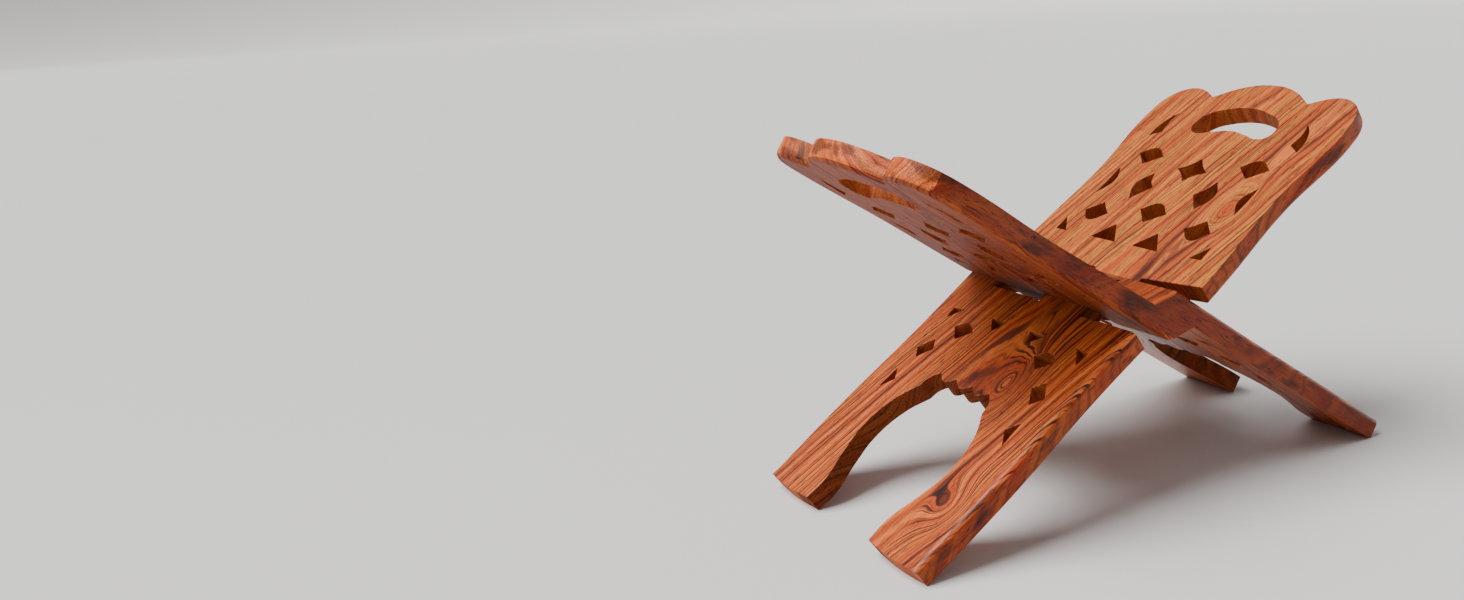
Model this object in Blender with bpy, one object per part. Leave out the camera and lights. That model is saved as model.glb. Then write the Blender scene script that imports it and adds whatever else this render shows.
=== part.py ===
"""Folding quran stand (rehal): one sheesham plank, resawn into two boards that cross and fold.

Each board is a leaf on one side of the plank's mid-plane and a leg on the other. Between them are
knuckles, carved out of the full plank, which pass through gaps in the other board. There is no pin:
the interlocked knuckles are the hinge.

Plank coordinates: x runs along the plank from the hinge axis, + to the top of the leaf and - to the
feet; y runs across, along the hinge axis; z is the plank's thickness, with the saw cut at z = 0.
Lengths are in millimetres until a mesh is made.
World: +Z up, the hinge along Y, the floor at z = 0, and the hinge axis above the origin.
"""
import math

import bmesh
import bpy
from mathutils import Euler, Matrix, Vector

MM = 0.001

# The plank and the saw cut through its thickness
PLANK_THICKNESS = 25.0
KERF = 0.6
HALF_THICKNESS = PLANK_THICKNESS / 2
HALF_KERF = KERF / 2
HALF_WIDTH = 84.0
LEAF_REACH = 186.2
LEG_REACH = 196.3
EDGE_ROUND = 3.8

# How far it opens: each leaf's angle above level, and both leaves folded together
LEAF_TILT = 34.0
FOLD_ANGLE = 180.0 - 2 * LEAF_TILT

# Knuckles: the world y of the three saw cuts between them, from the near edge to the far edge
KNUCKLE_CUTS = (-38.0, 4.0, 51.0)
SAW_WIDTH = 0.6
V_FACE_INNER = 16.0
V_FACE_OUTER = 4.5
STOP_GAP = 0.3
LEG_END = 22.7
EDGE_LEG_END = 25.0
EDGE_SKEW = 4.5
SAW_HOLE_RADIUS = 1.2

# Feet
FOOT_CORNER = 195.0
FOOT_INNER = 36.0
FOOT_MIDDLE = (HALF_WIDTH + FOOT_INNER) / 2
FOOT_LAND_RISE = 0.9

# The cusped arch between the feet
ARCH_TOP = 90.7
SCALLOP_PITCH = 16.7
SCALLOP_DEPTH = 4.3

# How far a cutter runs past what it cuts, a limit past the board's edge, and the floor's cutter
OVERCUT = 6.0
OUTSIDE = HALF_WIDTH + OVERCUT
FLOOR_CUTTER_SPAN = 4 * HALF_WIDTH
FLOOR_CUTTER_DEPTH = 4 * OVERCUT

# How curves and rounded edges are divided, and how close points are merged
CURVE_STEPS = 4
ROUND_SEGMENTS = 3
SAW_HOLE_SIDES = 8
MERGE_DISTANCE = 0.01
FLAT_ANGLE = 0.1

SMOOTH = "AUTO"
CORNER = "VECTOR"

WOOD_COLOUR = (0.40, 0.13, 0.045, 1.0)
WOOD_ROUGHNESS = 0.38


def leaf_end():
    """Where the leaf is cut off over the other board's knuckle.

    Its back corner rests on the other board's leg at the open position.
    """
    fold = math.radians(FOLD_ANGLE)
    reach = HALF_THICKNESS + STOP_GAP - HALF_THICKNESS * math.cos(fold)
    return reach / math.sin(fold)


def hinge_height():
    """Height of the hinge axis over the floor, with the eased foot edges on the floor."""
    tilt = math.radians(LEAF_TILT)
    return LEG_REACH * math.sin(tilt) - HALF_KERF * math.cos(tilt) - FOOT_LAND_RISE


# ---------------------------------------------------------------- outlines in the plank's plane

def mirrored(half):
    """A closed outline from its +y half, whose first and last points are on the centre line."""
    other_half = [(x, -y, kind) for x, y, kind in reversed(half[1:-1])]
    return half + other_half


def other_side(outline):
    return [(x, -y, kind) for x, y, kind in reversed(outline)]


def top_edge():
    """Three lobes over the leaf, from the middle of the centre lobe round to the side."""
    return [
        (LEAF_REACH, 0.0, SMOOTH),
        (182.6, 21.0, SMOOTH),
        (171.8, 40.4, CORNER),
        (176.6, 50.0, SMOOTH),
        (178.9, 60.5, SMOOTH),
        (176.8, 70.5, SMOOTH),
        (170.0, 79.0, SMOOTH),
        (157.0, 83.6, SMOOTH),
    ]


def side_edge():
    """The long side: a waist in the leaf and a slight swell in the leg."""
    return [
        (94.0, 79.6, SMOOTH),
        (40.0, 83.2, SMOOTH),
        (0.0, HALF_WIDTH, SMOOTH),
        (-70.0, 83.0, SMOOTH),
        (-134.0, 85.2, SMOOTH),
        (-FOOT_CORNER, HALF_WIDTH, CORNER),
    ]


def foot_edge():
    return [
        (-LEG_REACH, FOOT_MIDDLE, SMOOTH),
        (-FOOT_CORNER, FOOT_INNER, CORNER),
    ]


def arch_edge():
    """From the foot up the inner side of the leg to the middle of the scalloped arch top."""
    side = [
        (-181.0, 35.6, SMOOTH),
        (-160.0, 42.5, SMOOTH),
        (-140.0, 46.8, SMOOTH),
        (-118.0, 42.5, SMOOTH),
        (-103.0, 32.5, CORNER),
        (-97.0, 31.2, SMOOTH),
    ]
    top = []
    for step in range(3, -1, -1):
        y = step * SCALLOP_PITCH / 2
        if step % 2:
            top.append((-ARCH_TOP, y, CORNER))
        else:
            top.append((-ARCH_TOP - SCALLOP_DEPTH, y, SMOOTH))
    return side + top


def plank_outline():
    return mirrored(top_edge() + side_edge() + foot_edge() + arch_edge())


def handle_slot():
    return mirrored([
        (164.0, 0.0, SMOOTH),
        (160.0, 21.0, SMOOTH),
        (155.0, 30.5, SMOOTH),
        (148.5, 34.0, SMOOTH),
        (141.5, 32.8, SMOOTH),
        (138.2, 26.5, SMOOTH),
        (140.6, 14.0, SMOOTH),
        (142.8, 0.0, SMOOTH),
    ])


def leaf_centre_cutouts():
    """The two openings on the leaf's centre line, upper one first."""
    diamond = mirrored([
        (116.5, 0.0, CORNER),
        (110.4, 5.4, SMOOTH),
        (105.8, 12.4, CORNER),
        (101.4, 5.4, SMOOTH),
        (96.0, 0.0, CORNER),
    ])
    dome = mirrored([
        (75.6, 0.0, SMOOTH),
        (68.5, 11.8, CORNER),
        (58.8, 0.0, CORNER),
    ])
    return [diamond, dome]


def leaf_side_cutouts():
    """The openings on the +y half of the leaf, from the top down."""
    horn = [
        (153.9, 55.0, CORNER),
        (149.7, 59.4, SMOOTH),
        (140.0, 63.4, SMOOTH),
        (131.0, 64.3, CORNER),
        (135.9, 55.6, CORNER),
        (146.5, 56.9, SMOOTH),
    ]
    upper_kite = [
        (114.4, 33.6, CORNER),
        (121.0, 45.4, SMOOTH),
        (114.4, 57.1, CORNER),
        (105.6, 45.6, CORNER),
    ]
    crescent = [
        (100.0, 61.2, CORNER),
        (88.0, 55.4, SMOOTH),
        (76.8, 61.2, CORNER),
        (88.0, 61.9, SMOOTH),
    ]
    shield = [
        (87.0, 18.4, CORNER),
        (92.2, 23.6, SMOOTH),
        (99.5, 27.6, CORNER),
        (88.4, 35.3, SMOOTH),
        (75.6, 29.0, CORNER),
    ]
    lower_kite = [
        (60.5, 34.8, CORNER),
        (64.2, 40.8, SMOOTH),
        (69.0, 46.2, CORNER),
        (60.3, 56.3, CORNER),
        (52.9, 46.6, SMOOTH),
    ]
    inner_triangle = [
        (40.3, 8.0, CORNER),
        (53.4, 19.4, CORNER),
        (40.3, 30.6, CORNER),
    ]
    outer_triangle = [
        (40.8, 56.6, CORNER),
        (51.0, 66.0, CORNER),
        (40.8, 66.4, CORNER),
    ]
    return [horn, upper_kite, crescent, shield, lower_kite, inner_triangle, outer_triangle]


def leg_side_cutouts():
    """The openings on the +y half of the leg, from the hinge down."""
    outer_triangle = [
        (-45.8, 55.9, CORNER),
        (-46.2, 66.0, CORNER),
        (-55.2, 65.2, CORNER),
    ]
    inner_triangle = [
        (-44.5, 11.8, CORNER),
        (-44.5, 26.0, CORNER),
        (-53.0, 17.5, CORNER),
    ]
    kite = [
        (-58.2, 31.0, CORNER),
        (-53.3, 40.5, SMOOTH),
        (-58.2, 50.2, CORNER),
        (-66.4, 40.7, CORNER),
    ]
    diamond = [
        (-71.4, 56.2, CORNER),
        (-80.6, 65.0, CORNER),
        (-87.4, 58.6, CORNER),
        (-77.8, 50.4, CORNER),
    ]
    dart = [
        (-98.7, 65.0, CORNER),
        (-106.0, 58.0, CORNER),
        (-114.7, 65.4, CORNER),
    ]
    return [outer_triangle, inner_triangle, kite, diamond, dart]


def all_openings():
    one_side = leaf_side_cutouts() + leg_side_cutouts()
    other = [other_side(outline) for outline in one_side]
    return [handle_slot()] + leaf_centre_cutouts() + one_side + other


# ---------------------------------------------------------------- meshes

def mesh_from_curve(curve, name):
    """A closed mesh of an extruded 2D curve, its caps welded on."""
    guide = bpy.data.objects.new(name, curve)
    bpy.context.scene.collection.objects.link(guide)
    bpy.context.view_layer.update()
    evaluated = guide.evaluated_get(bpy.context.evaluated_depsgraph_get())
    mesh = bpy.data.meshes.new_from_object(evaluated)
    mesh.name = name
    bpy.data.objects.remove(guide)
    bpy.data.curves.remove(curve)
    welded = bmesh.new()
    welded.from_mesh(mesh)
    bmesh.ops.remove_doubles(welded, verts=welded.verts, dist=MERGE_DISTANCE * MM)
    bmesh.ops.recalc_face_normals(welded, faces=welded.faces)
    welded.to_mesh(mesh)
    welded.free()
    return mesh


def extruded_outlines(outlines, name, half_height):
    """A prism through the plank's thickness for each outline, z from -half_height to half_height."""
    curve = bpy.data.curves.new(name, "CURVE")
    curve.dimensions = "2D"
    curve.fill_mode = "BOTH"
    curve.extrude = half_height * MM
    curve.resolution_u = CURVE_STEPS
    for outline in outlines:
        spline = curve.splines.new("BEZIER")
        spline.bezier_points.add(len(outline) - 1)
        spline.use_cyclic_u = True
        for point, (x, y, kind) in zip(spline.bezier_points, outline):
            point.co = (x * MM, y * MM, 0.0)
            point.handle_left_type = kind
            point.handle_right_type = kind
    return mesh_from_curve(curve, name)


def extruded_side_profile(profile, name):
    """A prism across the plank's whole width from an outline in x and z."""
    outline = [(x, z, CORNER) for x, z in profile]
    mesh = extruded_outlines([outline], name, HALF_WIDTH + OVERCUT)
    mesh.transform(Matrix.Rotation(math.radians(90.0), 4, "X"))
    return mesh


def on_long_edge(point):
    """Whether a point of the rim is beside the leaf or down the outside of the leg."""
    outside_of_leg = abs(point.y) > FOOT_MIDDLE and point.x > -FOOT_CORNER
    return point.x > 0 or outside_of_leg


def round_long_edges(mesh):
    """Round the plank's edges along both sides and over the lobes, but not at the feet or arch."""
    shape = bmesh.new()
    shape.from_mesh(mesh)
    bmesh.ops.dissolve_limit(
        shape, angle_limit=math.radians(FLAT_ANGLE), verts=[], edges=shape.edges,
    )
    rounded = []
    for edge in shape.edges:
        middle = (edge.verts[0].co + edge.verts[1].co) / 2 / MM
        at_a_face = abs(middle.z) > HALF_THICKNESS - HALF_KERF
        if at_a_face and on_long_edge(middle):
            rounded.append(edge)
    bmesh.ops.bevel(
        shape, geom=rounded, affect="EDGES", offset=EDGE_ROUND * MM, segments=ROUND_SEGMENTS,
        profile=0.5,
    )
    shape.to_mesh(mesh)
    shape.free()


# ---------------------------------------------------------------- cutters

def saw_waste(reach):
    """Side profile of what is sawn off over a leaf of this reach, down to the knuckle's V face."""
    slope = (V_FACE_INNER - V_FACE_OUTER) / (HALF_THICKNESS + HALF_KERF)
    high = HALF_THICKNESS + OVERCUT
    return [
        (V_FACE_INNER, -HALF_KERF),
        (reach + OVERCUT, -HALF_KERF),
        (reach + OVERCUT, high),
        (V_FACE_OUTER - slope * OVERCUT, high),
    ]


def waste_over_leaf():
    return saw_waste(LEAF_REACH)


def waste_under_leg():
    """The same waste turned half round about the hinge axis."""
    return [(-x, -z) for x, z in saw_waste(LEG_REACH)]


def leg_end(low):
    return EDGE_LEG_END if low == -OUTSIDE else LEG_END


def gap_plan(low, high):
    """Plan of the gap that lets the other board's knuckle through, between two limits across y.

    It takes half a saw cut off the knuckles beside it. A gap at the board's edge runs out past it,
    and its leaf end is cut a little askew.
    """
    low_wall = low - SAW_WIDTH / 2
    high_wall = high + SAW_WIDTH / 2
    skew = EDGE_SKEW if low == -OUTSIDE else 0.0
    return [
        (leaf_end() + skew, low_wall, CORNER),
        (leaf_end(), high_wall, CORNER),
        (-leg_end(low), high_wall, CORNER),
        (-leg_end(low), low_wall, CORNER),
    ]


def saw_hole(centre_x, centre_y):
    """Plan of the small hole at a corner of a gap, where the saw was started."""
    hole = []
    for side in range(SAW_HOLE_SIDES):
        angle = (side + 0.5) * math.tau / SAW_HOLE_SIDES
        x = centre_x + SAW_HOLE_RADIUS * math.cos(angle)
        y = centre_y + SAW_HOLE_RADIUS * math.sin(angle)
        hole.append((x, y, CORNER))
    return hole


def saw_holes(gaps):
    """A hole at each corner where a gap meets the leg, but none where it runs out at the edge."""
    holes = []
    for low, high in gaps:
        for y in (low, high):
            if y != -OUTSIDE:
                holes.append(saw_hole(-leg_end(low), y))
    return holes


def add_cutter(mesh, board, collection):
    cutter = bpy.data.objects.new(mesh.name, mesh)
    collection.objects.link(cutter)
    cutter.parent = board
    cutter.hide_render = True
    cutter.display_type = "WIRE"
    cut = board.modifiers.new(mesh.name, "BOOLEAN")
    cut.operation = "DIFFERENCE"
    cut.solver = "EXACT"
    cut.object = cutter


def floor_slab(name):
    """A slab under the floor, in plank coordinates, which flattens the lower edge of each foot."""
    shape = bmesh.new()
    bmesh.ops.create_cube(shape, size=1.0)
    mesh = bpy.data.meshes.new(name)
    shape.to_mesh(mesh)
    shape.free()
    tilt = math.radians(LEAF_TILT)
    size = Vector((FLOOR_CUTTER_SPAN, FLOOR_CUTTER_SPAN, FLOOR_CUTTER_DEPTH)) * MM
    under_foot = -LEG_REACH * math.cos(tilt)
    centre = Vector((under_foot, 0.0, -hinge_height() - FLOOR_CUTTER_DEPTH / 2)) * MM
    mesh.transform(Matrix.Diagonal(size).to_4x4())
    mesh.transform(Matrix.Translation(centre))
    mesh.transform(Matrix.Rotation(tilt, 4, "Y"))
    return mesh


# ---------------------------------------------------------------- the two boards

def wood_material(name):
    material = bpy.data.materials.new(name)
    material.use_nodes = True
    shader = material.node_tree.nodes["Principled BSDF"]
    shader.inputs["Base Color"].default_value = WOOD_COLOUR
    shader.inputs["Roughness"].default_value = WOOD_ROUGHNESS
    shader.inputs["Metallic"].default_value = 0.0
    return material


def add_board(name, gaps, turn, parts, cutters):
    """One board: the plank less the saw's waste and the gaps for the other board's knuckles.

    gaps are pairs of limits across the plank; turn is the heading of the leaf, in degrees about Z.
    """
    mesh = extruded_outlines([plank_outline()], name, HALF_THICKNESS)
    round_long_edges(mesh)
    board = bpy.data.objects.new(name, mesh)
    parts.objects.link(board)
    board.data.materials.append(wood_material(name))

    for label, profile in (("_over_leaf", waste_over_leaf()), ("_under_leg", waste_under_leg())):
        waste = extruded_side_profile(profile, name + label)
        add_cutter(waste, board, cutters)
    through = HALF_THICKNESS + OVERCUT
    openings = extruded_outlines(all_openings(), name + "_openings", through)
    add_cutter(openings, board, cutters)
    for number, (low, high) in enumerate(gaps, start=1):
        gap = extruded_outlines([gap_plan(low, high)], f"{name}_gap_{number}", through)
        add_cutter(gap, board, cutters)
    holes = extruded_outlines(saw_holes(gaps), name + "_saw_holes", through)
    add_cutter(holes, board, cutters)
    add_cutter(floor_slab(name + "_floor"), board, cutters)

    board.location = (0.0, 0.0, hinge_height() * MM)
    tilt = Euler((0.0, -math.radians(LEAF_TILT), 0.0)).to_matrix()
    heading = Euler((0.0, 0.0, math.radians(turn))).to_matrix()
    board.rotation_euler = (heading @ tilt).to_euler()


def main():
    for old in list(bpy.data.objects):
        bpy.data.objects.remove(old)
    parts = bpy.data.collections.new("quran_stand")
    cutters = bpy.data.collections.new("cutters")
    for collection in (parts, cutters):
        bpy.context.scene.collection.children.link(collection)

    near_cut, middle_cut, far_cut = KNUCKLE_CUTS
    right_gaps = [(-OUTSIDE, near_cut), (middle_cut, far_cut)]
    left_gaps = [(-OUTSIDE, -far_cut), (-middle_cut, -near_cut)]
    add_board("right_leaf_board", right_gaps, 0.0, parts, cutters)
    add_board("left_leaf_board", left_gaps, 180.0, parts, cutters)


main()
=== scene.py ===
"""The looks of a folding quran stand (rehal): two interlocked sheesham boards on a pale floor.

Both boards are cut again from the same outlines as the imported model, with finer curves and long
edges, lightly sanded crisp edges and hand-cut openings. The wood is a solid procedural timber,
so its figure runs through each board from face to edge to end grain.

Plank coordinates: x runs along the plank from the hinge axis, + to the top of the leaf and - to the
feet; y runs across, along the hinge axis; z is the plank's thickness, with the saw cut at z = 0.
Lengths are in millimetres until a mesh is made.
"""

import math
import random

import bmesh
import bpy
from mathutils import Matrix, Vector

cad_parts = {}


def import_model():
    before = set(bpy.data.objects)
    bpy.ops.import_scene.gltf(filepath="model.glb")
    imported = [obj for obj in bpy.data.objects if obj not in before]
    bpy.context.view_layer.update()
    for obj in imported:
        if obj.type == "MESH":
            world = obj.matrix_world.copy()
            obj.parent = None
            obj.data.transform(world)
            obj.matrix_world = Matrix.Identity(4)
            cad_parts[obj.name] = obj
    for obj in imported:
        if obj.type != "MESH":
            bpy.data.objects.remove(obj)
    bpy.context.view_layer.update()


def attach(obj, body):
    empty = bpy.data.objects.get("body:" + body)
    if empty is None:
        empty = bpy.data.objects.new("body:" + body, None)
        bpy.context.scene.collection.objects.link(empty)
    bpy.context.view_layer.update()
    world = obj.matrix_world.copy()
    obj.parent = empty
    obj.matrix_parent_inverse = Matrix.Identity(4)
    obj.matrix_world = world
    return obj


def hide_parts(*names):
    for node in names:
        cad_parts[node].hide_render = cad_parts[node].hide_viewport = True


MM = 0.001

# ---------------------------------------------------------------- sizes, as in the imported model

HALF_THICKNESS = 12.5
HALF_KERF = 0.3
HALF_WIDTH = 84.0
LEAF_REACH = 186.2
LEG_REACH = 196.3
EDGE_ROUND = 3.8
LEAF_TILT = 34.0
FOLD_ANGLE = 180.0 - 2 * LEAF_TILT

KNUCKLE_CUTS = (-38.0, 4.0, 51.0)
SAW_WIDTH = 0.6
V_FACE_INNER = 16.0
V_FACE_OUTER = 4.5
STOP_GAP = 0.3
LEG_END = 22.7
EDGE_LEG_END = 25.0
EDGE_SKEW = 4.5
SAW_HOLE_RADIUS = 1.2

FOOT_CORNER = 195.0
FOOT_INNER = 36.0
FOOT_MIDDLE = (HALF_WIDTH + FOOT_INNER) / 2
FOOT_LAND_RISE = 0.9

ARCH_TOP = 90.7
SCALLOP_PITCH = 16.7
SCALLOP_DEPTH = 4.3
HALF_SCALLOPS = 3

OVERCUT = 6.0
OUTSIDE = HALF_WIDTH + OVERCUT
FLOOR_CUTTER_SPAN = 4 * HALF_WIDTH
FLOOR_CUTTER_DEPTH = 4 * OVERCUT

SMOOTH = "AUTO"
CORNER = "VECTOR"

# How curves and rounded edges are divided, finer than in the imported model
CURVE_STEPS = 10
ROUND_SEGMENTS = 6
SAW_HOLE_SIDES = 12
MERGE_DISTANCE = 0.01
FLAT_ANGLE = 0.1

# Which finish a face gets. The share of its normal along z says how flat it lies: FLAT_ENOUGH for
# the plank's broad faces, HALF_WAY between those and a wall. A wall past SIDE_FACE_FROM in y or
# LOBE_FACE_FROM in x is the plank's outside; below the arch top, one less than ARCH_WALL_WITHIN
# from the centre line is in the arch.
FLAT_ENOUGH = 0.98
HALF_WAY = 0.5
SIDE_FACE_FROM = 76.0
LOBE_FACE_FROM = 167.0
ARCH_WALL_WITHIN = 50.0

# Made by hand: how far crisp edges are eased, the angle in degrees that makes one crisp, and the
# fretsaw's wander. Points closer than SHORTEST_EDGE are merged and faces within LEVEL_ANGLE are
# joined first. Edges under SAW_HOLE_EDGE long, this near the hinge axis, are the saw holes' own
# and stay sharp.
EASED_EDGE = 0.45
EASED_SEGMENTS = 2
CRISP_ANGLE = 32.0
LEVEL_ANGLE = 0.2
SHORTEST_EDGE = 0.05
SAW_HOLE_EDGE = 2.0
SAW_HOLES_WITHIN = 30.0
HAND_CUT = 0.35

# Camera: where it stands in metres, how it is turned in degrees, and its lens
CAMERA_PLACE = (-0.4443, -0.5793, 0.2893)
CAMERA_HEADING = 32.15
CAMERA_DOWN = 18.18
CAMERA_ROLL = -2.79
CAMERA_LENS = 31.31
CAMERA_SHIFT = (-0.161, 0.0605)

# Floor, in metres, and how its sweep is divided
FLOOR_RADIUS = 9.0
SWEEP_RADIUS = 1.5
WALL_TOP = 2.6
SWEEP_STEPS = 12
FLOOR_SIDES = 96

# Suns: the direction they shine from, their strength, and their spread in degrees
SUNS = {
    "overhead_left": ((-1.1, 0.35, 1.6), 6.2, 46.0),
    "front_fill": ((-0.9, -1.2, 0.7), 0.3, 60.0),
}
SKY_STRENGTH = 0.26


def leaf_end():
    """Where the leaf is cut off over the other board's knuckle."""
    fold = math.radians(FOLD_ANGLE)
    reach = HALF_THICKNESS + STOP_GAP - HALF_THICKNESS * math.cos(fold)
    return reach / math.sin(fold)


def hinge_height():
    """Height of the hinge axis over the floor, with the eased foot edges on the floor."""
    tilt = math.radians(LEAF_TILT)
    return LEG_REACH * math.sin(tilt) - HALF_KERF * math.cos(tilt) - FOOT_LAND_RISE


# ---------------------------------------------------------------- outlines in the plank's plane

def mirrored(half):
    """A closed outline from its +y half, whose first and last points are on the centre line."""
    other_half = [(x, -y, kind) for x, y, kind in reversed(half[1:-1])]
    return half + other_half


def other_side(outline):
    return [(x, -y, kind) for x, y, kind in reversed(outline)]


def top_edge():
    """Three lobes over the leaf, from the middle of the centre lobe round to the side."""
    return [
        (LEAF_REACH, 0.0, SMOOTH),
        (182.6, 21.0, SMOOTH),
        (171.8, 40.4, CORNER),
        (176.6, 50.0, SMOOTH),
        (178.9, 60.5, SMOOTH),
        (176.8, 70.5, SMOOTH),
        (170.0, 79.0, SMOOTH),
        (157.0, 83.6, SMOOTH),
    ]


def side_edge():
    """The long side: a waist in the leaf and a slight swell in the leg."""
    return [
        (94.0, 79.6, SMOOTH),
        (40.0, 83.2, SMOOTH),
        (0.0, HALF_WIDTH, SMOOTH),
        (-70.0, 83.0, SMOOTH),
        (-134.0, 85.2, SMOOTH),
        (-FOOT_CORNER, HALF_WIDTH, CORNER),
    ]


def foot_edge():
    return [
        (-LEG_REACH, FOOT_MIDDLE, SMOOTH),
        (-FOOT_CORNER, FOOT_INNER, CORNER),
    ]


def arch_edge():
    """From the foot up the inner side of the leg to the middle of the scalloped arch top."""
    side = [
        (-181.0, 35.6, SMOOTH),
        (-160.0, 42.5, SMOOTH),
        (-140.0, 46.8, SMOOTH),
        (-118.0, 42.5, SMOOTH),
        (-103.0, 32.5, CORNER),
        (-97.0, 31.2, SMOOTH),
    ]
    top = []
    for step in range(HALF_SCALLOPS, -1, -1):
        y = step * SCALLOP_PITCH / 2
        if step % 2:
            top.append((-ARCH_TOP, y, CORNER))
        else:
            top.append((-ARCH_TOP - SCALLOP_DEPTH, y, SMOOTH))
    return side + top


def plank_outline():
    return mirrored(top_edge() + side_edge() + foot_edge() + arch_edge())


def handle_slot():
    return mirrored([
        (164.0, 0.0, SMOOTH),
        (160.0, 21.0, SMOOTH),
        (155.0, 30.5, SMOOTH),
        (148.5, 34.0, SMOOTH),
        (141.5, 32.8, SMOOTH),
        (138.2, 26.5, SMOOTH),
        (140.6, 14.0, SMOOTH),
        (142.8, 0.0, SMOOTH),
    ])


def leaf_centre_cutouts():
    """The two openings on the leaf's centre line, upper one first."""
    diamond = mirrored([
        (116.5, 0.0, CORNER),
        (110.4, 5.4, SMOOTH),
        (105.8, 12.4, CORNER),
        (101.4, 5.4, SMOOTH),
        (96.0, 0.0, CORNER),
    ])
    dome = mirrored([
        (75.6, 0.0, SMOOTH),
        (68.5, 11.8, CORNER),
        (58.8, 0.0, CORNER),
    ])
    return [diamond, dome]


def leaf_side_cutouts():
    """The openings on the +y half of the leaf, from the top down."""
    horn = [
        (153.9, 55.0, CORNER),
        (149.7, 59.4, SMOOTH),
        (140.0, 63.4, SMOOTH),
        (131.0, 64.3, CORNER),
        (135.9, 55.6, CORNER),
        (146.5, 56.9, SMOOTH),
    ]
    upper_kite = [
        (114.4, 33.6, CORNER),
        (121.0, 45.4, SMOOTH),
        (114.4, 57.1, CORNER),
        (105.6, 45.6, CORNER),
    ]
    crescent = [
        (100.0, 61.2, CORNER),
        (88.0, 55.4, SMOOTH),
        (76.8, 61.2, CORNER),
        (88.0, 61.9, SMOOTH),
    ]
    shield = [
        (87.0, 18.4, CORNER),
        (92.2, 23.6, SMOOTH),
        (99.5, 27.6, CORNER),
        (88.4, 35.3, SMOOTH),
        (75.6, 29.0, CORNER),
    ]
    lower_kite = [
        (60.5, 34.8, CORNER),
        (64.2, 40.8, SMOOTH),
        (69.0, 46.2, CORNER),
        (60.3, 56.3, CORNER),
        (52.9, 46.6, SMOOTH),
    ]
    inner_triangle = [
        (40.3, 8.0, CORNER),
        (53.4, 19.4, CORNER),
        (40.3, 30.6, CORNER),
    ]
    outer_triangle = [
        (40.8, 56.6, CORNER),
        (51.0, 66.0, CORNER),
        (40.8, 66.4, CORNER),
    ]
    return [horn, upper_kite, crescent, shield, lower_kite, inner_triangle, outer_triangle]


def leg_side_cutouts():
    """The openings on the +y half of the leg, from the hinge down."""
    outer_triangle = [
        (-45.8, 55.9, CORNER),
        (-46.2, 66.0, CORNER),
        (-55.2, 65.2, CORNER),
    ]
    inner_triangle = [
        (-44.5, 11.8, CORNER),
        (-44.5, 26.0, CORNER),
        (-53.0, 17.5, CORNER),
    ]
    kite = [
        (-58.2, 31.0, CORNER),
        (-53.3, 40.5, SMOOTH),
        (-58.2, 50.2, CORNER),
        (-66.4, 40.7, CORNER),
    ]
    diamond = [
        (-71.4, 56.2, CORNER),
        (-80.6, 65.0, CORNER),
        (-87.4, 58.6, CORNER),
        (-77.8, 50.4, CORNER),
    ]
    dart = [
        (-98.7, 65.0, CORNER),
        (-106.0, 58.0, CORNER),
        (-114.7, 65.4, CORNER),
    ]
    return [outer_triangle, inner_triangle, kite, diamond, dart]


def all_openings():
    one_side = leaf_side_cutouts() + leg_side_cutouts()
    other = [other_side(outline) for outline in one_side]
    return [handle_slot()] + leaf_centre_cutouts() + one_side + other


def hand_cut(outline, draw):
    """The same outline with each point a little off, as a fretsaw leaves it."""
    return [
        (x + draw.uniform(-HAND_CUT, HAND_CUT), y + draw.uniform(-HAND_CUT, HAND_CUT), kind)
        for x, y, kind in outline
    ]


# ---------------------------------------------------------------- meshes

def mesh_from_curve(curve, name):
    """A closed mesh of an extruded 2D curve, its caps welded on."""
    guide = bpy.data.objects.new(name, curve)
    bpy.context.scene.collection.objects.link(guide)
    bpy.context.view_layer.update()
    evaluated = guide.evaluated_get(bpy.context.evaluated_depsgraph_get())
    mesh = bpy.data.meshes.new_from_object(evaluated)
    mesh.name = name
    bpy.data.objects.remove(guide)
    bpy.data.curves.remove(curve)
    welded = bmesh.new()
    welded.from_mesh(mesh)
    bmesh.ops.remove_doubles(welded, verts=welded.verts, dist=MERGE_DISTANCE * MM)
    bmesh.ops.recalc_face_normals(welded, faces=welded.faces)
    welded.to_mesh(mesh)
    welded.free()
    return mesh


def extruded_outlines(outlines, name, half_height):
    """A prism through the plank's thickness for each outline, z from -half_height to half_height."""
    curve = bpy.data.curves.new(name, "CURVE")
    curve.dimensions = "2D"
    curve.fill_mode = "BOTH"
    curve.extrude = half_height * MM
    curve.resolution_u = CURVE_STEPS
    for outline in outlines:
        spline = curve.splines.new("BEZIER")
        spline.bezier_points.add(len(outline) - 1)
        spline.use_cyclic_u = True
        for point, (x, y, kind) in zip(spline.bezier_points, outline):
            point.co = (x * MM, y * MM, 0.0)
            point.handle_left_type = kind
            point.handle_right_type = kind
    return mesh_from_curve(curve, name)


def extruded_side_profile(profile, name):
    """A prism across the plank's whole width from an outline in x and z."""
    outline = [(x, z, CORNER) for x, z in profile]
    mesh = extruded_outlines([outline], name, HALF_WIDTH + OVERCUT)
    mesh.transform(Matrix.Rotation(math.radians(90.0), 4, "X"))
    return mesh


def on_long_edge(point):
    """Whether a point of the rim is beside the leaf or down the outside of the leg."""
    outside_of_leg = abs(point.y) > FOOT_MIDDLE and point.x > -FOOT_CORNER
    return point.x > 0 or outside_of_leg


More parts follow.
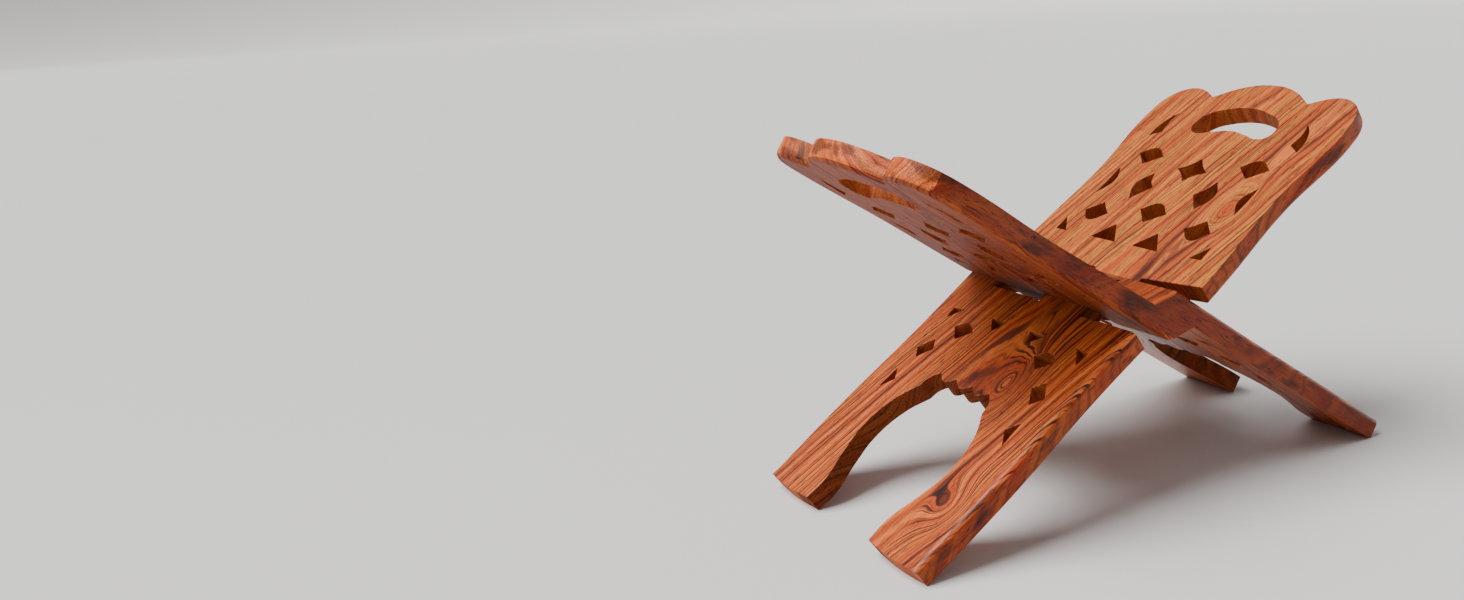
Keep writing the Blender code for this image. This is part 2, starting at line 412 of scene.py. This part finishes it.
def round_long_edges(mesh):
    """Round the plank's edges along both sides and over the lobes, but not at the feet or arch."""
    shape = bmesh.new()
    shape.from_mesh(mesh)
    bmesh.ops.dissolve_limit(
        shape, angle_limit=math.radians(FLAT_ANGLE), verts=[], edges=shape.edges,
    )
    rounded = []
    for edge in shape.edges:
        middle = (edge.verts[0].co + edge.verts[1].co) / 2 / MM
        at_a_face = abs(middle.z) > HALF_THICKNESS - HALF_KERF
        if at_a_face and on_long_edge(middle):
            rounded.append(edge)
    bmesh.ops.bevel(
        shape, geom=rounded, affect="EDGES", offset=EDGE_ROUND * MM, segments=ROUND_SEGMENTS,
        profile=0.5,
    )
    shape.to_mesh(mesh)
    shape.free()


# ---------------------------------------------------------------- cutters

def saw_waste(reach):
    """Side profile of what is sawn off over a leaf of this reach, down to the knuckle's V face."""
    slope = (V_FACE_INNER - V_FACE_OUTER) / (HALF_THICKNESS + HALF_KERF)
    high = HALF_THICKNESS + OVERCUT
    return [
        (V_FACE_INNER, -HALF_KERF),
        (reach + OVERCUT, -HALF_KERF),
        (reach + OVERCUT, high),
        (V_FACE_OUTER - slope * OVERCUT, high),
    ]


def waste_over_leaf():
    return saw_waste(LEAF_REACH)


def waste_under_leg():
    """The same waste turned half round about the hinge axis."""
    return [(-x, -z) for x, z in saw_waste(LEG_REACH)]


def leg_end(low):
    return EDGE_LEG_END if low == -OUTSIDE else LEG_END


def gap_plan(low, high):
    """Plan of the gap that lets the other board's knuckle through, between two limits across y."""
    low_wall = low - SAW_WIDTH / 2
    high_wall = high + SAW_WIDTH / 2
    skew = EDGE_SKEW if low == -OUTSIDE else 0.0
    return [
        (leaf_end() + skew, low_wall, CORNER),
        (leaf_end(), high_wall, CORNER),
        (-leg_end(low), high_wall, CORNER),
        (-leg_end(low), low_wall, CORNER),
    ]


def saw_hole(centre_x, centre_y):
    """Plan of the small hole at a corner of a gap, where the saw was started."""
    hole = []
    for side in range(SAW_HOLE_SIDES):
        angle = (side + 0.5) * math.tau / SAW_HOLE_SIDES
        x = centre_x + SAW_HOLE_RADIUS * math.cos(angle)
        y = centre_y + SAW_HOLE_RADIUS * math.sin(angle)
        hole.append((x, y, CORNER))
    return hole


def saw_holes(gaps):
    """A hole at each corner where a gap meets the leg, but none where it runs out at the edge."""
    holes = []
    for low, high in gaps:
        for y in (low, high):
            if y != -OUTSIDE:
                holes.append(saw_hole(-leg_end(low), y))
    return holes


def ease_crisp_edges(shape):
    """Take the sharpness off the cut edges, as light sanding does, but not in the saw holes."""
    bmesh.ops.remove_doubles(shape, verts=shape.verts, dist=SHORTEST_EDGE * MM)
    bmesh.ops.dissolve_limit(
        shape, angle_limit=math.radians(LEVEL_ANGLE), verts=[], edges=shape.edges,
    )
    eased = []
    for edge in shape.edges:
        middle = (edge.verts[0].co + edge.verts[1].co) / 2 / MM
        crisp = edge.calc_face_angle(0.0) > math.radians(CRISP_ANGLE)
        near_hinge = abs(middle.x) < SAW_HOLES_WITHIN
        in_saw_hole = near_hinge and edge.calc_length() < SAW_HOLE_EDGE * MM
        if crisp and not in_saw_hole:
            eased.append(edge)
    bmesh.ops.bevel(
        shape, geom=eased, affect="EDGES", offset=EASED_EDGE * MM, segments=EASED_SEGMENTS,
        profile=0.5, clamp_overlap=False, loop_slide=False,
    )
    for edge in shape.edges:
        edge.smooth = edge.calc_face_angle(0.0) < math.radians(CRISP_ANGLE)


def floor_slab(name):
    """A slab under the floor, in plank coordinates, which flattens the lower edge of each foot."""
    shape = bmesh.new()
    bmesh.ops.create_cube(shape, size=1.0)
    mesh = bpy.data.meshes.new(name)
    shape.to_mesh(mesh)
    shape.free()
    tilt = math.radians(LEAF_TILT)
    size = Vector((FLOOR_CUTTER_SPAN, FLOOR_CUTTER_SPAN, FLOOR_CUTTER_DEPTH)) * MM
    under_foot = -LEG_REACH * math.cos(tilt)
    centre = Vector((under_foot, 0.0, -hinge_height() - FLOOR_CUTTER_DEPTH / 2)) * MM
    mesh.transform(Matrix.Diagonal(size).to_4x4())
    mesh.transform(Matrix.Translation(centre))
    mesh.transform(Matrix.Rotation(tilt, 4, "Y"))
    return mesh


# ---------------------------------------------------------------- shader graphs

class Graph:
    """Short ways to add shader nodes and join them up."""

    def __init__(self, tree):
        self.tree = tree

    def add(self, kind, inputs, output=0, **settings):
        """A node with these settings; inputs are values or other nodes' outputs."""
        node = self.tree.nodes.new(kind)
        for name, value in settings.items():
            setattr(node, name, value)
        for name, value in inputs.items():
            if isinstance(value, bpy.types.NodeSocket):
                self.tree.links.new(value, node.inputs[name])
            else:
                node.inputs[name].default_value = value
        return node.outputs[output]

    def math(self, operation, first, second=0.0):
        return self.add("ShaderNodeMath", {0: first, 1: second}, operation=operation)

    def plus(self, first, second):
        return self.math("ADD", first, second)

    def minus(self, first, second):
        return self.math("SUBTRACT", first, second)

    def times(self, first, second):
        return self.math("MULTIPLY", first, second)

    def total(self, values):
        result = values[0]
        for value in values[1:]:
            result = self.plus(result, value)
        return result

    def scaled(self, vector, factors):
        return self.add("ShaderNodeVectorMath", {0: vector, 1: factors}, operation="MULTIPLY")

    def moved(self, vector, offset):
        return self.add("ShaderNodeVectorMath", {0: vector, 1: offset}, operation="ADD")

    def axes(self, vector):
        node = self.tree.nodes.new("ShaderNodeSeparateXYZ")
        self.tree.links.new(vector, node.inputs[0])
        return tuple(node.outputs)

    def noise(self, vector, cell, detail=2.0, roughness=0.5):
        """Noise from 0 to 1; cell is its grain along x, y and z, in the vector's own unit."""
        shrunk = self.scaled(vector, tuple(1 / size for size in cell))
        inputs = {"Vector": shrunk, "Scale": 1.0, "Detail": detail, "Roughness": roughness}
        return self.add("ShaderNodeTexNoise", inputs)

    def swing(self, vector, cell, reach, detail=2.0):
        """Noise that swings about zero by up to reach each way."""
        centred = self.minus(self.noise(vector, cell, detail), 0.5)
        return self.times(centred, 2 * reach)

    def lines(self, position, cell, detail=2.0, roughness=0.5):
        """Noise along one number only, so that it makes bands; cell is a band's size."""
        shrunk = self.times(position, 1 / cell)
        inputs = {"W": shrunk, "Scale": 1.0, "Detail": detail, "Roughness": roughness}
        return self.add("ShaderNodeTexNoise", inputs, noise_dimensions="1D")

    def step(self, value, low, high):
        """0 below low, 1 above high, and smooth between."""
        inputs = {"Value": value, "From Min": low, "From Max": high}
        return self.add("ShaderNodeMapRange", inputs, interpolation_type="SMOOTHSTEP")

    def between(self, value, low, high):
        """low where value is 0 and high where it is 1."""
        inputs = {"Value": value, "To Min": low, "To Max": high}
        return self.add("ShaderNodeMapRange", inputs)

    def spot(self, x, y, place):
        """1 at the middle of a soft spot, 0 far off; place is its x and y and its reach in each."""
        spot_x, spot_y, reach_x, reach_y = place
        along = self.math("POWER", self.times(self.minus(x, spot_x), 1 / reach_x), 2.0)
        aside = self.math("POWER", self.times(self.minus(y, spot_y), 1 / reach_y), 2.0)
        return self.math("EXPONENT", self.times(self.plus(along, aside), -1.0))

    def mix(self, factor, first, second, blend="MIX"):
        """Mix two colours."""
        inputs = {0: factor, 6: first, 7: second}
        return self.add("ShaderNodeMix", inputs, output=2, data_type="RGBA", blend_type=blend)


def colour(red, green, blue):
    """A display colour, 0 to 255 a channel, as linear light."""
    def linear(level):
        share = level / 255
        return share / 12.92 if share <= 0.04045 else ((share + 0.055) / 1.055) ** 2.4
    return (linear(red), linear(green), linear(blue), 1.0)


# ---------------------------------------------------------------- the wood

PALE = colour(194, 100, 44)
ORANGE = colour(164, 66, 20)
GOLD = colour(186, 110, 40)
PLUM = colour(84, 32, 20)
STREAK = colour(30, 9, 5)
PORE = colour(24, 8, 4)

# The timber of each board. The seed picks its noise. The shade is a tint over its underside and rims,
# painted shade, which darkens the left board. Then comes a darker spot on the leg, painted shadow of
# the other board's leaf, given by its x, y and its reach along both. The pith is where the growth
# rings' centre line runs: its y and z, and its drift in y along x. Knots are bumps in the rings: x, y,
# how far they push, and their reach along x and y. Lengths are in mm.
BOARDS = {
    "right_leaf_board": {
        "seed": 11,
        "shade": (1.0, 1.0, 1.0),
        "leg_shadow": (-76.0, -30.0, 34.0, 44.0),
        "pith": (-27.0, -15.0, -0.22),
        "knots": [
            (80.0, -54.0, 15.0, 16.0, 11.0),
            (-82.0, -32.0, 16.0, 22.0, 13.0),
            (-158.0, -66.0, 14.0, 15.0, 12.0),
            (-128.0, 4.0, 7.0, 70.0, 44.0),
        ],
    },
    "left_leaf_board": {
        "seed": 47,
        # Painted shade on the left board's underside and rims
        "shade": (0.64, 0.54, 0.46),
        "leg_shadow": (-70.0, 20.0, 40.0, 30.0),
        "pith": (14.0, 16.0, 0.12),
        "knots": [
            (96.0, 30.0, 14.0, 26.0, 16.0),
            (-120.0, -52.0, 15.0, 30.0, 14.0),
            (20.0, -50.0, 10.0, 30.0, 16.0),
        ],
    },
}

# Finishes: the tint over the wood, how strong its gold bands and dark streaks are, the roughness,
# how deep the tool marks are, and the lacquer
FINISHES = {
    "sanded": {"tint": (1.0, 1.03, 1.04), "gold": 1.0, "streaks": 0.75, "roughness": 0.46,
               "marks": 0.0, "coat": 0.08},
    "oiled": {"tint": (1.06, 0.98, 0.98), "gold": 0.4, "streaks": 1.08, "roughness": 0.40,
              "marks": 0.0, "coat": 0.12},
    "underside": {"tint": (0.92, 0.84, 0.80), "gold": 0.4, "streaks": 0.8, "roughness": 0.60,
                  "marks": 0.0, "coat": 0.0},
    "rim": {"tint": (0.72, 0.49, 0.33), "gold": 0.6, "streaks": 0.45, "roughness": 0.42,
            "marks": 0.0, "coat": 0.03},
    "end_grain": {"tint": (1.28, 1.19, 1.24), "gold": 0.3, "streaks": 0.5, "roughness": 0.55,
                  "marks": 0.3, "coat": 0.0},
    "fretted": {"tint": (0.80, 0.78, 0.86), "gold": 0.5, "streaks": 0.3, "roughness": 0.75,
                "marks": 1.0, "coat": 0.0},
    "chiselled": {"tint": (0.72, 0.66, 0.66), "gold": 0.3, "streaks": 1.0, "roughness": 0.75,
                  "marks": 0.3, "coat": 0.0},
    # Sawn faces are rough and marked; their dark tint is painted shade in the hinge's gaps and on the
    # arch walls
    "sawn": {"tint": (0.38, 0.32, 0.29), "gold": 0.3, "streaks": 0.5, "roughness": 0.85,
             "marks": 0.6, "coat": 0.0},
}

# Finishes that a board's painted shade falls on
PAINTED_SHADE_FINISHES = ("underside", "rim")

# How the rings stray from true circles: the size of the wavers in mm along x, y and z, and their reach
RING_DRIFT = ((260.0, 90.0, 90.0), 13.0)
RING_DEPTH_DRIFT = ((200.0, 90.0, 90.0), 7.0)
RING_WOBBLE = ((70.0, 16.0, 16.0), 2.4)
RING_RIPPLE = ((22.0, 5.0, 5.0), 0.5)

# Bands along the rings: their size in mm, the noise's detail, and the levels it fades in between
BANDS = {
    "orange": (4.6, 3.0, 0.36, 0.62),
    "gold": (9.0, 1.0, 0.47, 0.61),
    "plum": (3.1, 3.0, 0.48, 0.64),
    "streak": (1.2, 2.0, 0.51, 0.64),
}

# How far along the rings each band's noise is taken, so that no two bands fall together
BAND_OFFSETS = {"orange": 0.0, "gold": 300.0, "plum": 700.0, "streak": 1100.0}

# Sizes in mm along x, y and z: two sets of patches where streaks show, fibres, pores, the dark flames
# on the rims, the blotches in the lobe notches, the waves of sanding and the tool marks
PATCH_SIZE = (120.0, 24.0, 24.0)
OTHER_PATCH_SIZE = (90.0, 16.0, 16.0)
OTHER_PATCH_OFFSET = (900.0, 0.0, 0.0)
FIBRE_SIZE = (28.0, 0.8, 0.8)
PORE_SIZE = (7.0, 0.55, 0.55)
FLAME_SIZE = (30.0, 16.0, 8.0)
BLOTCH_SIZE = (9.0, 9.0, 9.0)
WAVE_SIZE = (28.0, 16.0, 16.0)
MARK_SIZE = (0.7, 0.7, 14.0)

# Painted shade under each leaf by the hinge, darker and rougher there: centre and reach along x and y
HINGE_SHADE_SPOT = (6.0, -26.0, 26.0, 32.0)

# How far from the centre line the darker patches are, in the notches between the lobes
NOTCH_DARK_AT = 47.0
NOTCH_DARK_REACH = 6.0

# Levels of noise between which plum bands, streaks, pores, flames and blotches fade in
PLUM_LEVELS = (0.30, 0.56)
STREAK_LEVELS = (0.28, 0.54)
PORE_LEVELS = (0.60, 0.68)
FLAME_LEVELS = (0.50, 0.66)
BLOTCH_LEVELS = (0.35, 0.6)

# How strong the gold bands are, and how light the fibres, where their noise is 0 and where it is 1
GOLD_RANGE = (0.3, 1.1)
FIBRE_SHADE = (0.45, 1.55)

# How much of each dark colour is mixed in at most
BAND_STRENGTH = 0.9
PORE_STRENGTH = 0.75
# The painted shadow on the leg
LEG_SHADOW_STRENGTH = 0.45
FLAME_STRENGTH = 0.65
# The painted shade by the hinge
HINGE_SHADE_STRENGTH = 0.8

# What fibres, pores and the painted shade by the hinge do to the roughness
FIBRE_ROUGHNESS = (-0.06, 0.06)
PORE_ROUGHNESS = 0.15
HINGE_SPOT_ROUGHNESS = 0.45

# The relief: heights of its parts as shares of RELIEF_DEPTH in mm, and the bump's strength
FIBRE_HEIGHT = 0.5
PORE_HEIGHT = -0.8
WAVE_HEIGHT = 3.0
MARK_HEIGHT = 2.0
RELIEF_DEPTH = 0.2
RELIEF_STRENGTH = 0.5

COAT_ROUGHNESS = 0.22
SPECULAR_LEVEL = 0.20


def plank_coordinates(graph, placing):
    """The shaded point in the plank's own mm; placing moves the plank to where the board stands."""
    local = graph.add("ShaderNodeTexCoord", {}, output="Object")
    turn = placing.to_euler()
    placed = {"Vector": local, "Location": placing.translation, "Rotation": turn}
    unplaced = graph.add("ShaderNodeMapping", placed, vector_type="TEXTURE")
    return graph.scaled(unplaced, (1 / MM, 1 / MM, 1 / MM))


def ring_number(graph, plank, board):
    """How far a point is from the growth centre, in mm, with drift, wobble and knots."""
    x, y, z = graph.axes(plank)
    pith_y, pith_z, slope = board["pith"]
    drift = graph.swing(plank, *RING_DRIFT)
    across = graph.total([y, graph.times(x, -slope), drift, -pith_y])
    depth = graph.plus(graph.minus(z, pith_z), graph.swing(plank, *RING_DEPTH_DRIFT))
    squares = graph.plus(graph.math("POWER", across, 2.0), graph.math("POWER", depth, 2.0))
    rings = graph.math("SQRT", squares)
    for knot_x, knot_y, push, reach_x, reach_y in board["knots"]:
        knot = graph.spot(x, y, (knot_x, knot_y, reach_x, reach_y))
        rings = graph.minus(rings, graph.times(knot, push))
    wobble = graph.swing(plank, *RING_WOBBLE)
    ripple = graph.swing(plank, *RING_RIPPLE)
    return graph.total([rings, wobble, ripple])


def band(graph, rings, name):
    """How much of one of the bands there is, from 0 to 1."""
    size, detail, low, high = BANDS[name]
    moved_on = graph.plus(rings, BAND_OFFSETS[name])
    return graph.step(graph.lines(moved_on, size, detail=detail), low, high)


def banded_colour(graph, place, rings, finish):
    """Pale wood with orange and gold bands, plum bands and thin dark streaks."""
    patches = graph.noise(place, PATCH_SIZE)
    other_patches = graph.noise(graph.moved(place, OTHER_PATCH_OFFSET), OTHER_PATCH_SIZE)
    dark_strength = BAND_STRENGTH * finish["streaks"]
    base = graph.mix(band(graph, rings, "orange"), PALE, ORANGE)

    gold = graph.times(band(graph, rings, "gold"), graph.between(patches, *GOLD_RANGE))
    base = graph.mix(graph.times(gold, finish["gold"]), base, GOLD)

    plum = graph.times(band(graph, rings, "plum"), graph.step(other_patches, *PLUM_LEVELS))
    base = graph.mix(graph.times(plum, dark_strength), base, PLUM)

    streak = graph.times(band(graph, rings, "streak"), graph.step(patches, *STREAK_LEVELS))
    return graph.mix(graph.times(streak, dark_strength), base, STREAK)


def with_fibres_and_pores(graph, base, fibre, pores):
    shade = graph.between(fibre, *FIBRE_SHADE)
    greys = graph.add("ShaderNodeCombineColor", {0: shade, 1: shade, 2: shade})
    base = graph.mix(1.0, base, greys, blend="MULTIPLY")
    return graph.mix(graph.times(pores, PORE_STRENGTH), base, PORE)


def finish_tint(board, kind):
    """A finish's tint, under the board's painted shade on its underside and rims."""
    tint = FINISHES[kind]["tint"]
    shade = board["shade"] if kind in PAINTED_SHADE_FINISHES else (1.0, 1.0, 1.0)
    return (*(level * share for level, share in zip(tint, shade)), 1.0)


def with_leg_shadow(graph, base, plank, board):
    """A darker spot on the leg: painted shadow of the other board's leaf."""
    x, y, _ = graph.axes(plank)
    leg_shadow = graph.spot(x, y, board["leg_shadow"])
    return graph.mix(graph.times(leg_shadow, LEG_SHADOW_STRENGTH), base, PLUM)


def with_flames(graph, base, plank):
    """Dark flames along the rims."""
    flames = graph.step(graph.noise(plank, FLAME_SIZE, detail=3.0), *FLAME_LEVELS)
    return graph.mix(graph.times(flames, FLAME_STRENGTH), base, STREAK)


def with_notch_darkening(graph, base, plank):
    """Darker patches in the notches between the lobes, towards the underside."""
    _, y, z = graph.axes(plank)
    from_notch = graph.minus(graph.math("ABSOLUTE", y), NOTCH_DARK_AT)
    notch_dark = graph.spot(from_notch, z, (0.0, -HALF_THICKNESS, NOTCH_DARK_REACH, HALF_THICKNESS))
    blotch = graph.step(graph.noise(plank, BLOTCH_SIZE), *BLOTCH_LEVELS)
    return graph.mix(graph.times(notch_dark, blotch), base, STREAK)


def surface_relief(graph, plank, fibre, pores, marks_depth):
    """A bump of grooves, pores, sanding waves and tool marks."""
    grooves = graph.plus(graph.times(fibre, FIBRE_HEIGHT), graph.times(pores, PORE_HEIGHT))
    waves = graph.noise(plank, WAVE_SIZE, detail=1.0)
    relief = graph.plus(grooves, graph.times(waves, WAVE_HEIGHT))
    if marks_depth:
        marks = graph.noise(plank, MARK_SIZE, detail=2.0)
        relief = graph.plus(relief, graph.times(marks, MARK_HEIGHT * marks_depth))
    inputs = {"Height": relief, "Strength": RELIEF_STRENGTH, "Distance": RELIEF_DEPTH * MM}
    return graph.add("ShaderNodeBump", inputs)


def wood_material(name, kind, placing):
    """Sheesham for one board, with one of the finishes."""
    board = BOARDS[name]
    finish = FINISHES[kind]
    material = bpy.data.materials.new(f"{name}_{kind}")
    material.use_nodes = True
    graph = Graph(material.node_tree)

    plank = plank_coordinates(graph, placing)
    place = graph.moved(plank, (board["seed"] * 1000.0, 0.0, 0.0))
    fibre = graph.noise(place, FIBRE_SIZE, detail=3.0, roughness=0.65)
    pores = graph.step(graph.noise(place, PORE_SIZE, detail=1.0), *PORE_LEVELS)
    rings = ring_number(graph, plank, board)
    base = banded_colour(graph, place, rings, finish)
    base = with_fibres_and_pores(graph, base, fibre, pores)
    base = graph.mix(1.0, base, finish_tint(board, kind), blend="MULTIPLY")
    roughness = graph.plus(graph.between(fibre, *FIBRE_ROUGHNESS), finish["roughness"])
    roughness = graph.plus(roughness, graph.times(pores, PORE_ROUGHNESS))

    # Painted shadow of the other board's leaf on the leg
    if kind == "oiled":
        base = with_leg_shadow(graph, base, plank, board)
    if kind in ("rim", "end_grain"):
        base = with_flames(graph, base, plank)
    if kind == "end_grain":
        base = with_notch_darkening(graph, base, plank)
    # Painted shade by the hinge: the leaf's underside is darkened and roughened there
    if kind == "underside":
        x, y, _ = graph.axes(plank)
        hinge_shade = graph.spot(x, y, HINGE_SHADE_SPOT)
        roughness = graph.plus(roughness, graph.times(hinge_shade, HINGE_SPOT_ROUGHNESS))
        base = graph.mix(graph.times(hinge_shade, HINGE_SHADE_STRENGTH), base, STREAK)

    shader = material.node_tree.nodes["Principled BSDF"]
    links = material.node_tree.links
    links.new(base, shader.inputs["Base Color"])
    links.new(roughness, shader.inputs["Roughness"])
    links.new(surface_relief(graph, plank, fibre, pores, finish["marks"]), shader.inputs["Normal"])
    shader.inputs["Coat Weight"].default_value = finish["coat"]
    shader.inputs["Coat Roughness"].default_value = COAT_ROUGHNESS
    shader.inputs["Specular IOR Level"].default_value = SPECULAR_LEVEL
    return material


# ---------------------------------------------------------------- the two boards

def cut(board, mesh):
    """Cut a mesh in plank coordinates out of the board by an exact Boolean; gives its cutter."""
    cutter = bpy.data.objects.new(mesh.name, mesh)
    bpy.context.scene.collection.objects.link(cutter)
    modifier = board.modifiers.new(mesh.name, "BOOLEAN")
    modifier.operation = "DIFFERENCE"
    modifier.solver = "EXACT"
    modifier.object = cutter
    return cutter


def finish_of(face):
    """Which finish a face of a cut board has, from where it is and which way it faces."""
    centre = face.calc_center_median() / MM
    flatness = abs(face.normal.z)
    at_side = abs(centre.y) > SIDE_FACE_FROM
    at_lobes = centre.x > LOBE_FACE_FROM
    in_arch = centre.x < -ARCH_TOP + SCALLOP_DEPTH and abs(centre.y) < ARCH_WALL_WITHIN
    by_hinge = abs(centre.x) < EDGE_LEG_END + EDGE_SKEW
    # Faces by the hinge: the slanting ones chiselled, the walls sawn, whose dark tint is painted shade
    # in the gaps
    if by_hinge and not at_side and flatness < FLAT_ENOUGH:
        return "chiselled" if flatness > HALF_WAY else "sawn"
    if flatness > HALF_WAY:
        on_saw_cut = abs(centre.z) < 2 * HALF_KERF
        if centre.x > 0 and on_saw_cut:
            return "sanded"
        return "underside" if centre.x > 0 else "oiled"
    if at_lobes and abs(face.normal.x) > HALF_WAY:
        return "end_grain"
    # The arch walls take the dark sawn tint, painted shade there
    if in_arch:
        return "sawn"
    return "rim" if at_side or at_lobes else "fretted"


def add_cut_board(name, gaps):
    """One board in plank coordinates, with everything cut out of it and the cuts applied."""
    mesh = extruded_outlines([plank_outline()], name, HALF_THICKNESS)
    round_long_edges(mesh)
    board = bpy.data.objects.new(name + "_fine", mesh)
    bpy.context.scene.collection.objects.link(board)

    through = HALF_THICKNESS + OVERCUT
    waste = [waste_over_leaf(), waste_under_leg()]
    cutters = [cut(board, extruded_side_profile(profile, name + "_waste")) for profile in waste]
    draw = random.Random(BOARDS[name]["seed"])
    openings = [hand_cut(outline, draw) for outline in all_openings()]
    cutters.append(cut(board, extruded_outlines(openings, name + "_openings", through)))
    for low, high in gaps:
        cutters.append(cut(board, extruded_outlines([gap_plan(low, high)], name + "_gap", through)))
    cutters.append(cut(board, extruded_outlines(saw_holes(gaps), name + "_holes", through)))
    cutters.append(cut(board, floor_slab(name + "_floor")))

    bpy.context.view_layer.update()
    evaluated = board.evaluated_get(bpy.context.evaluated_depsgraph_get())
    cut_mesh = bpy.data.meshes.new_from_object(evaluated)
    board.modifiers.clear()
    board.data = cut_mesh
    for cutter in cutters:
        bpy.data.objects.remove(cutter)
    return board


def add_board(name, gaps, turn):
    """One finished board, placed as it stands open; turn is the heading of its leaf in degrees."""
    board = add_cut_board(name, gaps)
    tilt = Matrix.Rotation(-math.radians(LEAF_TILT), 4, "Y")
    heading = Matrix.Rotation(math.radians(turn), 4, "Z")
    placing = Matrix.Translation((0.0, 0.0, hinge_height() * MM)) @ heading @ tilt

    kinds = list(FINISHES)
    board.data.materials.clear()
    for kind in kinds:
        board.data.materials.append(wood_material(name, kind, placing))
    shape = bmesh.new()
    shape.from_mesh(board.data)
    ease_crisp_edges(shape)
    for face in shape.faces:
        face.material_index = kinds.index(finish_of(face))
        face.smooth = True
    shape.to_mesh(board.data)
    shape.free()
    board.data.transform(placing)

    normals = board.modifiers.new("flat_faces_flat", "WEIGHTED_NORMAL")
    normals.keep_sharp = True
    return board


# ---------------------------------------------------------------- floor, lights and camera

PAPER = colour(212, 210, 208)
PAPER_CLOUD = colour(217, 215, 213)
CLOUD_SIZE = (0.7, 0.7, 0.7)
PAPER_ROUGHNESS = 0.55
SKY = colour(226, 226, 228)


def floor_mesh():
    """A round floor that sweeps up into a low wall all round, with no corner to see."""
    profile = [(0.0, 0.0), (FLOOR_RADIUS, 0.0)]
    for step in range(1, SWEEP_STEPS + 1):
        angle = step / SWEEP_STEPS * math.pi / 2
        out = FLOOR_RADIUS + SWEEP_RADIUS * math.sin(angle)
        up = SWEEP_RADIUS * (1 - math.cos(angle))
        profile.append((out, up))
    profile.append((FLOOR_RADIUS + SWEEP_RADIUS, WALL_TOP))
    shape = bmesh.new()
    verts = [shape.verts.new((out, 0.0, up)) for out, up in profile]
    edges = [shape.edges.new(pair) for pair in zip(verts, verts[1:])]
    bmesh.ops.spin(
        shape, geom=verts + edges, axis=(0, 0, 1), cent=(0, 0, 0), angle=math.tau,
        steps=FLOOR_SIDES, use_merge=True,
    )
    for face in shape.faces:
        face.smooth = True
    mesh = bpy.data.meshes.new("floor")
    shape.to_mesh(mesh)
    shape.free()
    return mesh


def paper_material():
    """Matt pale paper, very slightly cloudy."""
    material = bpy.data.materials.new("floor")
    material.use_nodes = True
    graph = Graph(material.node_tree)
    shader = material.node_tree.nodes["Principled BSDF"]
    place = graph.add("ShaderNodeTexCoord", {}, output="Object")
    cloud = graph.noise(place, CLOUD_SIZE, detail=2.0)
    paper = graph.mix(cloud, PAPER, PAPER_CLOUD)
    material.node_tree.links.new(paper, shader.inputs["Base Color"])
    shader.inputs["Roughness"].default_value = PAPER_ROUGHNESS
    return material


def add_floor():
    floor = bpy.data.objects.new("floor", floor_mesh())
    bpy.context.scene.collection.objects.link(floor)
    floor.data.materials.append(paper_material())


def add_sun(name, place, strength, spread):
    """A far softbox: light from that direction, spread over that many degrees."""
    data = bpy.data.lights.new(name, "SUN")
    data.energy = strength
    data.angle = math.radians(spread)
    light = bpy.data.objects.new(name, data)
    bpy.context.scene.collection.objects.link(light)
    light.location = place
    light.rotation_euler = (-Vector(place)).to_track_quat("-Z", "Y").to_euler()


def add_lights():
    for name, (place, strength, spread) in SUNS.items():
        add_sun(name, place, strength, spread)
    world = bpy.data.worlds.new("studio")
    world.use_nodes = True
    background = world.node_tree.nodes["Background"]
    background.inputs["Color"].default_value = SKY
    background.inputs["Strength"].default_value = SKY_STRENGTH
    bpy.context.scene.world = world


def add_camera():
    data = bpy.data.cameras.new("camera")
    data.lens = CAMERA_LENS
    data.shift_x, data.shift_y = CAMERA_SHIFT
    camera = bpy.data.objects.new("camera", data)
    bpy.context.scene.collection.objects.link(camera)
    heading = Matrix.Rotation(-math.radians(CAMERA_HEADING), 4, "Z")
    pitch = Matrix.Rotation(math.radians(90.0 - CAMERA_DOWN), 4, "X")
    roll = Matrix.Rotation(math.radians(CAMERA_ROLL), 4, "Z")
    camera.matrix_world = Matrix.Translation(CAMERA_PLACE) @ heading @ pitch @ roll
    bpy.context.scene.camera = camera


def main():
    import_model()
    add_camera()

    near_cut, middle_cut, far_cut = KNUCKLE_CUTS
    boards = (
        ("right_leaf_board", [(-OUTSIDE, near_cut), (middle_cut, far_cut)], 0.0, "right_board"),
        ("left_leaf_board", [(-OUTSIDE, -far_cut), (-middle_cut, -near_cut)], 180.0, "left_board"),
    )
    for node, gaps, turn, body in boards:
        board = add_board(node, gaps, turn)
        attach(board, body)
        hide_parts(node)

    add_floor()
    add_lights()


main()
